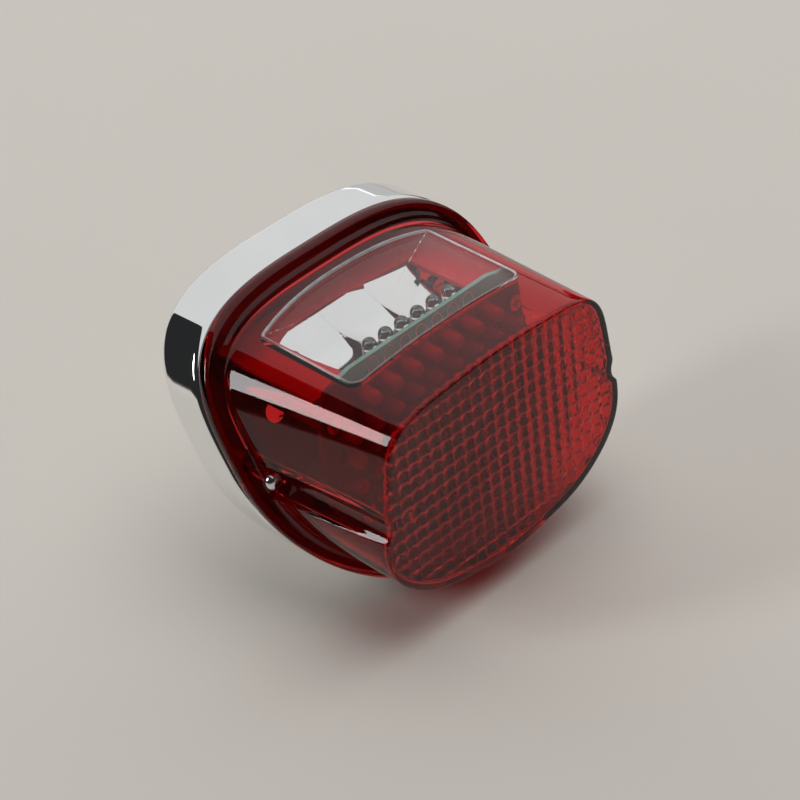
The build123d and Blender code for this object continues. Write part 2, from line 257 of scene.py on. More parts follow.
def prism_y(outline, y0, y1):
    """Closed prism along Y from an x, z outline."""
    o = np.asarray(outline, float)
    r0 = np.stack([o[:, 0], np.full(len(o), y0), o[:, 1]], 1)
    r1 = np.stack([o[:, 0], np.full(len(o), y1), o[:, 1]], 1)
    v = np.vstack([r0, r1])
    n = len(o)
    f = [[i, (i + 1) % n, n + (i + 1) % n, n + i] for i in range(n)]
    f += [list(range(n))[::-1], list(range(n, 2 * n))]
    return v, f


def merge(parts):
    """Joins (verts, faces) or (verts, faces, material index) into one."""
    vs, fs, ms, o = [], [], [], 0
    for p in parts:
        v, f = p[0], p[1]
        m = p[2] if len(p) > 2 else 0
        vs.append(np.asarray(v, float))
        fs.extend([[i + o for i in face] for face in f])
        ms.extend([m] * len(f))
        o += len(v)
    return np.vstack(vs), fs, ms


def cut(ob, tools, solver="EXACT"):
    """Subtracts closed meshes, given as (verts, faces), from ob for good."""
    cutters = []
    for i, (v, f) in enumerate(tools):
        me = bpy.data.meshes.new("cutter")
        me.from_pydata((np.asarray(v) * MM).tolist(), [], [list(map(int, x)) for x in f])
        c = bpy.data.objects.new("cutter%d" % i, me)
        bpy.context.scene.collection.objects.link(c)
        bm = bmesh.new(); bm.from_mesh(me)
        bmesh.ops.recalc_face_normals(bm, faces=bm.faces)
        bm.to_mesh(me); bm.free()
        cutters.append(c)
        mod = ob.modifiers.new("cut%d" % i, "BOOLEAN")
        mod.operation, mod.solver, mod.object = "DIFFERENCE", solver, c
    deps = bpy.context.evaluated_depsgraph_get()
    deps.update()
    new = bpy.data.meshes.new_from_object(ob.evaluated_get(deps))
    ob.modifiers.clear()
    old = ob.data
    ob.data = new
    bpy.data.meshes.remove(old)
    for c in cutters:
        me = c.data
        bpy.data.objects.remove(c)
        bpy.data.meshes.remove(me)


# ------------------------------------------------------------------ materials
def mat(name):
    m = bpy.data.materials.new(name)
    m.use_nodes = True
    nt = m.node_tree
    b = nt.nodes["Principled BSDF"]
    return m, nt, b, nt.nodes["Material Output"]


def node(nt, kind, **props):
    n = nt.nodes.new(kind)
    for k, v in props.items():
        setattr(n, k, v)
    return n


def coords(nt, scale=(1, 1, 1)):
    t = node(nt, "ShaderNodeTexCoord")
    m = node(nt, "ShaderNodeMapping")
    m.inputs["Scale"].default_value = scale
    nt.links.new(t.outputs["Object"], m.inputs["Vector"])
    return m.outputs["Vector"]


def noise(nt, vec, scale, detail=4.0, rough=0.55):
    n = node(nt, "ShaderNodeTexNoise")
    n.inputs["Scale"].default_value = scale
    n.inputs["Detail"].default_value = detail
    n.inputs["Roughness"].default_value = rough
    nt.links.new(vec, n.inputs["Vector"])
    return n.outputs["Fac"]


def ramp(nt, fac, stops):
    r = node(nt, "ShaderNodeValToRGB")
    e = r.color_ramp.elements
    while len(e) > len(stops):
        e.remove(e[-1])
    while len(e) < len(stops):
        e.new(1.0)
    for el, (pos, col) in zip(e, stops):
        el.position = pos
        el.color = col if len(col) == 4 else (*col, 1)
    nt.links.new(fac, r.inputs["Fac"])
    return r.outputs["Color"]


def remap(nt, fac, lo, hi):
    m = node(nt, "ShaderNodeMapRange")
    m.inputs["To Min"].default_value, m.inputs["To Max"].default_value = lo, hi
    nt.links.new(fac, m.inputs["Value"])
    return m.outputs["Result"]


def bump(nt, b, height, strength, dist=0.0002):
    n = node(nt, "ShaderNodeBump")
    n.inputs["Strength"].default_value = strength
    n.inputs["Distance"].default_value = dist
    nt.links.new(height, n.inputs["Height"])
    nt.links.new(n.outputs["Normal"], b.inputs["Normal"])


def clear_shadow(nt, b, out, colour):
    """Light reaches what is behind a transparent part, tinted by it."""
    t = node(nt, "ShaderNodeBsdfTransparent")
    t.inputs["Color"].default_value = (*colour, 1)
    lp = node(nt, "ShaderNodeLightPath")
    mx = node(nt, "ShaderNodeMixShader")
    nt.links.new(lp.outputs["Is Shadow Ray"], mx.inputs["Fac"])
    nt.links.new(b.outputs["BSDF"], mx.inputs[1])
    nt.links.new(t.outputs["BSDF"], mx.inputs[2])
    nt.links.new(mx.outputs["Shader"], out.inputs["Surface"])


def plain(name, c0, c1, scale, rough=(0.3, 0.5), metallic=0.0, bump_s=0.0, bump_scale=None, spec=0.5, coat=0.0):
    """A material with fine colour and roughness variation and a little surface relief."""
    m, nt, b, out = mat(name)
    v = coords(nt)
    f = noise(nt, v, scale)
    nt.links.new(ramp(nt, f, [(0.3, c0), (0.7, c1)]), b.inputs["Base Color"])
    nt.links.new(remap(nt, noise(nt, v, scale * 2.3), *rough), b.inputs["Roughness"])
    b.inputs["Metallic"].default_value = metallic
    b.inputs["Specular IOR Level"].default_value = spec
    b.inputs["Coat Weight"].default_value = coat
    b.inputs["Coat Roughness"].default_value = 0.08
    if bump_s:
        bump(nt, b, noise(nt, v, bump_scale or scale * 3), bump_s)
    return m


def make_chrome(name, tint=(0.90, 0.905, 0.91), rough=(0.015, 0.05), wave=0.02):
    m, nt, b, out = mat(name)
    v = coords(nt)
    f = noise(nt, v, 22, 5)
    dark = tuple(0.94 * t for t in tint)
    nt.links.new(ramp(nt, f, [(0.35, dark), (0.65, tint)]), b.inputs["Base Color"])
    nt.links.new(remap(nt, noise(nt, v, 60, 6, 0.6), *rough), b.inputs["Roughness"])
    b.inputs["Metallic"].default_value = 1.0
    bump(nt, b, noise(nt, v, 35, 2), wave, 0.0004)
    return m


def make_lens(name, c0, c1, shadow, ior=1.49, rough=(0.0, 0.02), wave=0.03, spec=0.5):
    m, nt, b, out = mat(name)
    v = coords(nt)
    nt.links.new(ramp(nt, noise(nt, v, 14, 3), [(0.3, c0), (0.7, c1)]), b.inputs["Base Color"])
    nt.links.new(remap(nt, noise(nt, v, 90, 5), *rough), b.inputs["Roughness"])
    b.inputs["Transmission Weight"].default_value = 1.0
    b.inputs["IOR"].default_value = ior
    b.inputs["Specular IOR Level"].default_value = spec
    bump(nt, b, noise(nt, v, 30, 2), wave, 0.0003)
    clear_shadow(nt, b, out, shadow)
    return m


M_CHROME = make_chrome("chrome_plate")
M_REFLECT = make_chrome("metallised_reflector", (0.97, 0.965, 0.96), (0.06, 0.13), 0.05)
M_RED = make_lens("red_lens", (0.74, 0.022, 0.026), (0.79, 0.028, 0.032), (0.48, 0.02, 0.024), ior=1.42, spec=0.3)
M_CLEAR = make_lens("clear_window", (0.955, 0.965, 0.965), (0.975, 0.98, 0.98), (0.90, 0.90, 0.90), ior=1.38, spec=0.3)
M_LEDRED = make_lens("red_led_epoxy", (0.60, 0.025, 0.025), (0.68, 0.04, 0.03), (0.6, 0.05, 0.05), 1.53, (0.05, 0.12))
M_LEDRED.node_tree.nodes["Principled BSDF"].inputs["Transmission Weight"].default_value = 0.6
M_LEDRED.node_tree.nodes["Principled BSDF"].inputs["Coat Weight"].default_value = 0.6
M_LEDCLEAR = make_lens("clear_led_epoxy", (0.94, 0.95, 0.95), (0.97, 0.97, 0.97), (0.9, 0.9, 0.9), 1.5, (0.0, 0.03), 0.01)
M_INNER = plain("base_inside", (0.50, 0.50, 0.50), (0.60, 0.60, 0.60), 60, (0.28, 0.42), 0.9, 0.08, 300)
# painted reflection: the deck's flat red stands in for the red-lit lens reflected in a bright metallised deck
M_DECK_PAINTED_REFLECTION = plain("red_deck_painted_reflection", (0.56, 0.022, 0.034), (0.62, 0.028, 0.040), 30, (0.22, 0.32), 0, 0.02, 300, 0.12)
M_RUBBER = plain("gasket_rubber", (0.012, 0.012, 0.012), (0.025, 0.024, 0.023), 120, (0.55, 0.75), 0, 0.2, 500)
M_GASKET = plain("foam_gasket", (0.34, 0.33, 0.32), (0.42, 0.41, 0.40), 200, (0.6, 0.8), 0, 0.2, 800)
M_STEEL = plain("bright_steel", (0.72, 0.73, 0.74), (0.82, 0.83, 0.84), 80, (0.10, 0.22), 1.0, 0.05, 400)
M_BLACK = plain("black_plastic", (0.015, 0.015, 0.016), (0.03, 0.03, 0.031), 90, (0.35, 0.5), 0, 0.1, 500)
M_WHITE = plain("white_nylon", (0.72, 0.70, 0.65), (0.80, 0.78, 0.73), 70, (0.35, 0.5), 0, 0.05, 400)
M_BRASS = plain("tinned_brass", (0.62, 0.56, 0.42), (0.74, 0.70, 0.58), 60, (0.2, 0.35), 1.0, 0.05, 300)
M_CHIP = plain("chip_epoxy", (0.018, 0.018, 0.02), (0.03, 0.03, 0.034), 200, (0.4, 0.55), 0, 0.1, 800)
M_CAN = plain("capacitor_can", (0.60, 0.61, 0.64), (0.70, 0.71, 0.73), 100, (0.25, 0.4), 1.0, 0.03, 400)
M_COPPER = plain("copper_trace", (0.86, 0.58, 0.34), (0.92, 0.66, 0.40), 150, (0.25, 0.4), 1.0, 0.02, 500)
M_BROWN = plain("lead_brown", (0.14, 0.06, 0.03), (0.20, 0.09, 0.045), 150, (0.35, 0.5), 0, 0.05, 600)
M_REDPVC = plain("lead_red", (0.50, 0.03, 0.03), (0.62, 0.05, 0.04), 150, (0.35, 0.5), 0, 0.05, 600)
M_BLKPVC = plain("lead_black", (0.012, 0.012, 0.012), (0.025, 0.025, 0.025), 150, (0.35, 0.5), 0, 0.05, 600)


def make_board():
    m, nt, b, out = mat("solder_mask")
    v = coords(nt)
    weave = node(nt, "ShaderNodeTexChecker")
    weave.inputs["Scale"].default_value = 2600
    nt.links.new(v, weave.inputs["Vector"])
    col = ramp(nt, noise(nt, v, 70, 4), [(0.3, (0.15, 0.25, 0.20)), (0.7, (0.20, 0.32, 0.26))])
    nt.links.new(col, b.inputs["Base Color"])
    nt.links.new(remap(nt, noise(nt, v, 200), 0.22, 0.4), b.inputs["Roughness"])
    bump(nt, b, weave.outputs["Fac"], 0.03, 0.00003)
    return m


M_BOARD = make_board()


def make_frost_painted_highlight():
    """The moulded and bonded edge of the window: rough clear plastic broken by pale streaks along the edge, the streaks
    being painted highlight that stands in for the bright lines along the edge.
    """
    m, nt, b, out = mat("window_bond_painted_highlight")
    v = coords(nt, (1, 1, 9))
    f = noise(nt, v, 260, 6, 0.7)
    b.inputs["Base Color"].default_value = (0.93, 0.94, 0.94, 1)
    nt.links.new(remap(nt, f, 0.15, 0.6), b.inputs["Roughness"])
    # where transmission drops the streaks turn white: painted highlight along the window's edge
    t = ramp(nt, noise(nt, v, 150, 4, 0.6), [(0.45, (0.05, 0.05, 0.05)), (0.62, (0.7, 0.7, 0.7))])
    nt.links.new(t, b.inputs["Transmission Weight"])
    b.inputs["IOR"].default_value = 1.49
    bump(nt, b, f, 0.4, 0.0003)
    clear_shadow(nt, b, out, (0.8, 0.8, 0.8))
    return m


M_FROST_PAINTED_HIGHLIGHT = make_frost_painted_highlight()

# ------------------------------------------------------------------ lens shell
FACE_C = np.array([0.0, 0.0])             # centre of the optics
CELL_X, CELL_Z, ROW0 = 4.76, 4.85, 1.9


def optics(x, z, edge):
    """Relief of the inner side of the face, in millimetres toward +Y: square pillow cells crossed by fine ring prisms."""
    u = ((x / CELL_X + 0.5) % 1.0) * 2 - 1
    v = (((z - ROW0) / CELL_Z) % 1.0) * 2 - 1
    pillow = 0.85 * (1 - u * u) * (1 + 0.25 * u) + 0.9 * (1 - v * v) * (1 + 0.4 * v)
    r = np.hypot(x - FACE_C[0], z - FACE_C[1])
    t = (r / 1.25) % 1.0
    ring_p = (0.05 + 0.11 * np.exp(-(r / 16.0) ** 2)) * np.where(t < 0.7, t / 0.7, (1 - t) / 0.3)
    return (pillow + ring_p) * edge


def wall_point(u_base, u_face, y):
    """Point of the tapered wall at depth y. u_base and u_face are (N, 2) outlines."""
    ya = (Y_FF + 1.0) + SLOPE * u_base[:, 1]
    t = (y - ya) / (FACE_Y - ya)
    p = u_base + (u_face - u_base) * t[:, None]
    return np.stack([p[:, 0], y, p[:, 1]], 1)


def build_lens():
    rings, kinds = [], []
    R, RE = 2.5, 0.9
    # inner face, from the centre out
    d_in, rc = 1.7, 0.5
    edge = on_flat(ring("face", d_in + rc), 0.0)
    edge = notched(edge, d_in + rc)
    n_in = 230
    for i in range(1, n_in + 1):
        t = i / n_in
        p = edge.copy()
        p[:, 0] = edge[:, 0] * t
        p[:, 2] = FACE_C[1] + (edge[:, 2] - FACE_C[1]) * t
        rim = np.clip((1 - t) / 0.012, 0, 1)
        p[:, 1] = FACE_Y + FACE_T - 1.1 + optics(p[:, 0], p[:, 2], rim)
        rings.append(p); kinds.append("optic")
    # inner corner and inner wall, toward the flange
    base_in, face_in = ring("rim", FLANGE_W + LENS_T), ring("face", d_in)
    for a in (30, 60, 90):
        s, c = math.sin(math.radians(a)), math.cos(math.radians(a))
        p = on_flat(ring("face", d_in + rc * (1 - s)), FACE_Y + FACE_T - 1.1 + rc * (1 - c))
        rings.append(notched(p, d_in + rc * (1 - s))); kinds.append("inner")
    y_end = Y_FB + SLOPE * base_in[:, 1]
    y_start = FACE_Y + FACE_T - 1.1 + rc
    for k in range(1, 25):
        t = k / 24
        y = y_start + (y_end - y_start) * t
        rings.append(notched(wall_point(base_in, face_in, y), d_in, k=1.6)); kinds.append("inner")
    # flange: rear face, outer edge, front face
    for d, y0 in ((6.0, Y_FB), (3.0, Y_FB), (0.6, Y_FB), (0.18, Y_FB - 0.18), (0.0, Y_FB - 0.6), (0.0, Y_FF + 1.2),
                  (0.10, Y_FF + 0.65), (0.42, Y_FF + 0.22), (1.0, Y_FF + 0.02), (1.6, Y_FF), (2.6, Y_FF), (FLANGE_W - R, Y_FF)):
        rings.append(on_slope(ring("rim", d), y0)); kinds.append("flange")
    # fillet up to the wall, collapsing where the groove opens into the flange
    ub, uf = ring("rim", FLANGE_W), ring("face", 0)
    z = ub[:, 1]
    side = (np.abs(ub[:, 0]) > 30)
    in_n = np.clip((GR + 0.35 - np.abs(z)) / 0.5, 0, 1) * side
    y_flange = Y_FF + SLOPE * z
    y_seat = np.minimum(SEAT_Y, y_flange)
    y_fil = y_flange - R
    y0 = y_fil + (np.maximum(y_fil, y_seat) - y_fil) * in_n
    end = wall_point(ub, uf, y0)
    for a in (15, 30, 45, 60, 75, 90):
        s, c = math.sin(math.radians(a)), math.cos(math.radians(a))
        p = on_slope(ring("rim", FLANGE_W - R + R * s), 0)
        corr = (end[:, [0, 2]] - ub) * s
        p[:, 0] += corr[:, 0]
        p[:, 2] += corr[:, 1]
        p[:, 1] = y_flange + (y0 - y_flange) * (1 - c)
        rings.append(p); kinds.append("wall")
    # seat
    y1 = y0 - 0.3 + (y_seat - (y0 - 0.3)) * in_n
    p_seat = wall_point(ub, uf, y1)
    rings.append(p_seat); kinds.append("wall")
    w = in_n
    y2 = y1 - 0.06
    q = wall_point(ub, uf, y2)
    for f in (0.5, 1.0):
        qq = notched(q)
        rings.append(q + (qq - q) * f); kinds.append("seat")
    y_e = FACE_Y + RE
    for k in range(1, 41):
        t = k / 40
        y = y2 + (y_e - y2) * t
        rings.append(notched(wall_point(ub, uf, y))); kinds.append("wall")
    # rounded edge of the face
    for a in (15, 30, 45, 60, 75, 90):
        s, c = math.sin(math.radians(a)), math.cos(math.radians(a))
        d = RE * (1 - c)
        rings.append(notched(on_flat(ring("face", d), FACE_Y + RE * (1 - s)), d)); kinds.append("face")
    e = rings[-1]
    for t in (0.97, 0.92, 0.84, 0.74, 0.62, 0.48, 0.32, 0.16, 0.05):
        p = e.copy()
        p[:, 0] = e[:, 0] * t
        p[:, 2] = FACE_C[1] + (e[:, 2] - FACE_C[1]) * t
        p[:, 1] = FACE_Y - 0.0 * (1 - t)
        rings.append(p); kinds.append("face")
    c0 = (FACE_C[0], FACE_Y + FACE_T - 1.1 + float(optics(np.array([0.0]), np.array([FACE_C[1]]), 1.0)[0]), FACE_C[1])
    c1 = (FACE_C[0], FACE_Y, FACE_C[1])
    v, f, _ = skin(rings, c0, c1)
    return v, f


# window outline, seen from above
WX, WYF, WYB, WYC = 38.0, -50.0, -7.6, -3.2


def window_outline(grow=0.0, n_arc=14):
    pts = []

    def corner(cx, cy, r, a0, a1):
        for i in range(n_arc + 1):
            a = math.radians(a0 + (a1 - a0) * i / n_arc)
            pts.append((cx + r * math.cos(a), cy + r * math.sin(a)))

    x, yf, yb = WX + grow, WYF - grow, WYB + grow
    rf, rb = 5.0 + grow, 2.2 + grow
    corner(-x + rf, yf + rf, rf, 180, 270)
    for k in range(1, 40):
        pts.append((-x + rf + (2 * x - 2 * rf) * k / 40, yf))
    corner(x - rf, yf + rf, rf, 270, 360)
    for k in range(1, 22):
        pts.append((x, yf + rf + (yb - rb - yf - rf) * k / 22))
    corner(x - rb, yb - rb, rb, 0, 83)
    xe = x - rb
    for k in range(1, 40):
        xx = xe - 2 * xe * k / 40
        pts.append((xx, yb + (WYC - WYB) * (1 - (xx / xe) ** 2)))
    corner(-x + rb, yb - rb, rb, 97, 180)
    for k in range(1, 22):
        pts.append((-x, yb - rb + (yf + rf - yb + rb) * k / 22))
    return np.array(pts)


_top_base = inset_half(RIM_D, FLANGE_W)[:1700]
_top_face = FACE_D[:760]


def wall_top_z(x, y):
    """Height of the outer top wall over the point x, y."""
    ax = np.abs(np.asarray(x, float))
    y = np.asarray(y, float)
    a = along(_top_base, 400)
    b = along(_top_face, 400)
    ka, kb = np.argmax(a[:, 1] < 30), np.argmax(b[:, 1] < 24)
    a, b = along(a[:max(ka, 50)], 400), along(b[:max(kb, 50)], 400)
    z = np.full_like(ax, 38.0)
    for _ in range(6):
        zb = np.interp(ax, a[:, 0], a[:, 1])
        ya = (Y_FF + 1.0) + SLOPE * zb
        t = (y - ya) / (FACE_Y - ya)
        zf = np.interp(ax, b[:, 0], b[:, 1])
        z = zb + (zf - zb) * t
    return z


def build_window():
    out = window_outline(-0.06)
    c = np.array([0.0, -28.5])
    n = np.gradient(np.vstack([out[-1:], out, out[:1]]), axis=0)[1:-1]
    n = n / np.linalg.norm(n, axis=1)[:, None]
    inward = np.stack([-n[:, 1], n[:, 0]], 1)
    if ((c - out[0]) @ inward[0]) < 0:
        inward = -inward

    def ring_at(d, dz, t=1.0):
        p = out + inward * d
        p = c + (p - c) * t
        return np.stack([p[:, 0], p[:, 1], wall_top_z(p[:, 0], p[:, 1]) + dz], 1)

    rings = []
    for t in (0.06, 0.2, 0.35, 0.5, 0.65, 0.8, 0.92):
        rings.append(ring_at(0.5, -LENS_T, t))
    for d, dz in ((0.5, -LENS_T), (0.12, -LENS_T + 0.1), (0.0, -LENS_T + 0.4), (0.0, -0.1), (0.0, 0.06), (0.06, 0.17), (0.18, 0.25), (0.36, 0.28),
                  (0.56, 0.25), (0.74, 0.16), (0.88, 0.04), (1.02, -0.02), (1.2, -0.03), (1.7, 0.0), (2.4, 0.05)):
        rings.append(ring_at(d, dz))
    for t in (0.98, 0.92, 0.8, 0.65, 0.5, 0.35, 0.2, 0.06):
        rings.append(ring_at(2.4, 0.05, t))
    z0 = float(wall_top_z(np.array([0.0]), np.array([c[1]]))[0])
    v, f, tag = skin(rings, (c[0], c[1], z0 - LENS_T), (c[0], c[1], z0 + 0.05))
    # rings 8, 9 and 15 take the painted-highlight streak material
    return v, f, [1 if t in (8, 9, 15) else 0 for t in tag]


v, f = build_lens()
lens = finish_mesh("lens_shell", v, f, [M_RED], body=None, sharp=40)
wo = window_outline(0.0)
w0 = np.stack([wo[:, 0], wo[:, 1], np.full(len(wo), 22.0)], 1)
w1 = w0.copy(); w1[:, 2] = 60.0
nw = len(wo)
cut_v = np.vstack([w0, w1])
cut_f = [[i, (i + 1) % nw, nw + (i + 1) % nw, nw + i] for i in range(nw)] + [list(range(nw))[::-1], list(range(nw, 2 * nw))]
cut(lens, [(cut_v, cut_f)])
tidy(lens, 40)
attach(lens, "root"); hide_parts("lens_body")

v, f, m = build_window()
window = finish_mesh("plate_window_clear", v, f, [M_CLEAR, M_FROST_PAINTED_HIGHLIGHT], m, replaces=["plate_window"], sharp=50)

# ------------------------------------------------------------------ chrome base
def build_base():
    rings, kinds = [], []
    e = ring("rim", WALL_B)
    for t in (0.1, 0.3, 0.55, 0.8, 0.95):
        p = on_slope(e * t, -PLATE_Y)
        rings.append(p); kinds.append(1)
    rings.append(on_slope(e, -PLATE_Y)); kinds.append(1)
    for y0 in (-6, -10, -14, -BASE_D + 0.5):
        rings.append(on_slope(e, y0)); kinds.append(1)
    re = 1.5
    front = [(WALL_B - 0.12, -BASE_D + 0.12), (WALL_B - 0.35, -BASE_D)]
    front += [(re * (1 - math.sin(math.radians(q))), -BASE_D + re * (1 - math.cos(math.radians(q)))) for q in (0, 15, 30, 45, 60, 75, 90)]
    for d, y0 in front + [(0.0, -14.0), (0.0, -10.0), (0.0, -6.0)]:
        rings.append(on_slope(ring("rim", d), y0)); kinds.append(0)
    rb = 3.4
    for a in range(0, 91, 10):
        s, c = math.sin(math.radians(a)), math.cos(math.radians(a))
        rings.append(on_slope(ring("rim", rb * (1 - c)), -rb + rb * s)); kinds.append(0)
    q = rings[-1]
    for t in (0.97, 0.85, 0.65, 0.45, 0.25, 0.1):
        rings.append(on_slope(q[:, [0, 2]] * t, 0.0)); kinds.append(0)
    v, f, tag = skin(rings, (0, -PLATE_Y, 0), (0, 0, 0))
    m = [1 if (t < 0 or (t < len(kinds) and kinds[min(t, len(kinds) - 1)] == 1)) else 0 for t in tag]
    return v, f, m


v, f, m = build_base()
base = finish_mesh("base_shell", v, f, [M_CHROME, M_INNER], m, body=None, sharp=32)
nrm = np.array([0, 1, -SLOPE]) / math.hypot(1, SLOPE)
tools = [lathe([(0, -9), (3.3, -9), (3.3, 9), (0, 9)], np.array([s * 31.75, 0, 0]), nrm, 48) for s in (-1, 1)]
tz = -14.0
tc = np.array([0, SLOPE * tz, tz])
ydir = np.cross(nrm, [1, 0, 0])
box8 = [tc + np.array([1, 0, 0]) * a * 9.1 + ydir * b * 6.1 + nrm * c * 7 for c in (-1, 1) for a, b in ((-1, -1), (1, -1), (1, 1), (-1, 1))]
tools.append((np.array(box8), [[3, 2, 1, 0], [4, 5, 6, 7], [0, 1, 5, 4], [1, 2, 6, 5], [2, 3, 7, 6], [3, 0, 4, 7]]))
cut(base, tools)
tidy(base, 32)
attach(base, "root"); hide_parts("base_housing")

g0, g1 = -BASE_D - 0.06, Y_FB + 0.06
rings = [on_slope(ring("rim", d), y0) for d, y0 in ((0.9, g0), (3.3, g0), (3.4, g0 - 0.1), (3.4, g1 + 0.1), (3.3, g1), (0.9, g1), (0.8, g1 + 0.1),
                                                    (0.8, g0 - 0.1))]
n = len(rings[0])
gf = []
for r in range(8):
    a, b = r * n, ((r + 1) % 8) * n
    gf += [[a + i, a + (i + 1) % n, b + (i + 1) % n, b + i] for i in range(n)]
finish_mesh("gasket_ring", np.vstack(rings), gf, [M_GASKET], replaces=["lens_gasket"], sharp=50)

# posts and bosses inside the base
posts = []
SEATS = {19.0: 2.0, -20.0: -21.0}
for x, z, r, ys, hole in [(s * 41.0, 19.0, 4.2, SEATS[19.0], 1.3) for s in (-1, 1)] + [(s * 30.0, -20.0, 4.2, SEATS[-20.0], 1.3) for s in (-1, 1)] \
        + [(s * 33.0, 19.0, 3.3, -12.0, 1.3) for s in (-1, 1)] + [(s * SX, 0.0, 4.6, -14.0, 1.85) for s in (-1, 1)]:
    y_back = SLOPE * z - PLATE_Y + 0.6
    n = 32
    a = 2 * math.pi * np.arange(n) / n
    cx, cz = np.cos(a), np.sin(a)
    rr = []
    depth = 4.0 if r != 4.6 else 7.8
    for rad, y in ((hole, ys + depth), (hole, ys + 0.2), (hole + 0.2, ys), (r - 0.5, ys), (r - 0.15, ys + 0.15), (r, ys + 0.5)):
        rr.append(np.stack([x + rad * cx, np.full(n, float(y)), z + rad * cz], 1))
    foot = np.stack([x + (r + 0.25) * cx, SLOPE * (z + (r + 0.25) * cz) - PLATE_Y + 0.5, z + (r + 0.25) * cz], 1)
    rr.append(foot)
    pv, pf, _ = skin(rr, (x, ys + depth, z), (x, SLOPE * z - PLATE_Y + 0.5, z))
    posts.append((pv, pf))
v, f, _ = merge(posts)
finish_mesh("base_posts", v, f, [M_INNER], replaces=["base_housing"])

# ------------------------------------------------------------------ lens screws
def cross_cutter(c, y_front, depth, w=0.85, l=3.9):
    tools = []
    for dx, dz in ((l / 2, w / 2), (w / 2, l / 2)):
        k = 0.55
        a = [c + np.array([sx * dx, 0, sz * dz]) for sx, sz in ((-1, -1), (1, -1), (1, 1), (-1, 1))]
        b = [c + np.array([sx * dx * k, 0, sz * dz * k]) for sx, sz in ((-1, -1), (1, -1), (1, 1), (-1, 1))]
        v = [p + np.array([0, y_front - 1.5, 0]) for p in a] + [p + np.array([0, y_front + depth, 0]) for p in b]
        tools.append((np.array(v), [[0, 1, 2, 3], [7, 6, 5, 4], [0, 4, 5, 1], [1, 5, 6, 2], [2, 6, 7, 3], [3, 7, 4, 0]]))
    return tools


for s in (-1, 1):
    y_h = SEAT_Y - 0.6
    prof = [(0, 0.0)]
    hh, rh = 2.5, 3.1
    for a in range(0, 91, 10):
        prof.append((rh * math.sin(math.radians(a)) ** 0.85 if a else 0.25, hh * (1 - math.cos(math.radians(a))) * 0.9))
    prof[1] = (0.3, 0.01)
    prof += [(rh, hh - 0.08), (rh - 0.08, hh), (1.9, hh), (1.75, hh + 0.2)]
    y = hh + 0.2
    while y < 19.4:                      # thread
        prof += [(1.75, y + 0.18), (1.50, y + 0.45), (1.75, y + 0.72)]
        y += 0.75
    prof += [(1.2, 19.7), (0, 19.7)]
    v, f = lathe([(r, h) for r, h in prof], np.array([s * SX, y_h - hh, 0.0]), (0, 1, 0), 48)
    ob = finish_mesh("lens_screw_%s" % ("left" if s < 0 else "right"), v, f, [M_STEEL], body=None, sharp=30)
    cut(ob, cross_cutter(np.array([s * SX, 0, 0.0]), y_h - hh, 1.5))
    tidy(ob, 30)
    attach(ob, "root"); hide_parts("lens_screws")

# ------------------------------------------------------------------ reflector under the window
def z_prism(outline, z0, z1):
    n = len(outline)
    v = np.vstack([np.column_stack([outline, np.full(n, z0)]), np.column_stack([outline, np.full(n, z1)])])
    f = [[i, (i + 1) % n, n + (i + 1) % n, n + i] for i in range(n)]
    return v, f + [list(range(n))[::-1], list(range(n, 2 * n))]


def squeeze(y):
    return np.clip(1 - 0.001 * np.clip(-y - 5, 0, None), 0.8, 1)


def tongue_start(x):
    left = -2.8 - 2.9 * np.abs((x + 9.6) / 19.2) ** 2.4
    return np.where(x < 9.6, left, -4.4 - 2.4 * np.clip((x - 9.6) / 19.2, 0, 1))


def build_tongue(c):
    """One scoop: a closed bright sheet that slopes down toward the board, with a rolled front lip."""
    u = np.linspace(-1, 1, 61)
    au = np.abs(u)
    start = tongue_start(c + u * 9.58) - 0.06
    end = -22.0 + 2.4 * au ** 6
    rows = []
    for t in np.linspace(0, 1, 72):
        y = start + (end - start) * t
        tau = np.clip((-4.0 - y) / 21.0, 0, 1)
        z = 27.75 - 21.0 * (0.56 * tau - 0.22 * tau ** 2) - 0.75 * (1 - u * u) * np.clip(tau * 3, 0, 1)
        k = np.where(u > 0, 1.5 if c > -1 else 2.6, 2.6 if -1 < c < 1 else 1.5)
        w = 9.58 - k * np.clip((-12.6 - y) / 9.5, 0, 1) ** 1.15
        rows.append(np.stack([(c + u * w) * squeeze(y), y, z], 1))
    last = rows[-1]
    for q in (15, 30, 45, 60, 75, 90):
        sn, cs = math.sin(math.radians(q)), math.cos(math.radians(q))
        rows.append(last + [0, -1.1 * sn, -1.1 * (1 - cs)])
    for dz in (2.0, 4.0):
        rows.append(rows[77] + [0, -0.02, -dz])
    g = np.array(rows)
    d = np.gradient(g[:, 30, :], axis=0)[:, 1:]
    d /= np.linalg.norm(d, axis=1)[:, None]
    nrm = np.stack([-d[:, 1], d[:, 0]], 1)          # below and behind the sheet
    low = g + np.concatenate([np.zeros((len(g), 1)), nrm * 0.85], 1)[:, None, :]
    ny, nx = g.shape[:2]
    top = g.reshape(-1, 3)
    o = ny * nx
    faces = [[j * nx + i, j * nx + i + 1, (j + 1) * nx + i + 1, (j + 1) * nx + i] for j in range(ny - 1) for i in range(nx - 1)]
    faces += [[o + q for q in fa[::-1]] for fa in faces]
    edge = list(range(nx)) + [j * nx + nx - 1 for j in range(1, ny)] + [(ny - 1) * nx + i for i in range(nx - 2, -1, -1)] + [j * nx for j in range(ny - 2, 0, -1)]
    faces += [[p, q, o + q, o + p] for p, q in zip(edge, edge[1:] + edge[:1])]
    return np.vstack([top, low.reshape(-1, 3)]), faces, 0


def build_deck():
    xs = np.linspace(-28.8, 28.8, 181)
    front = np.column_stack([xs, tongue_start(xs)])
    ys = np.linspace(-5.6, -37.4, 14)
    right = np.column_stack([28.85 * squeeze(ys), ys])
    pts = [[-44, 8], [-44, -37.4]] + (right[::-1] * [-1, 1]).tolist() + front[1:-1].tolist() + right.tolist() + [[44, -37.4], [44, 8]]
    return (*z_prism(np.array(pts), 26.6, 28.0), 1)
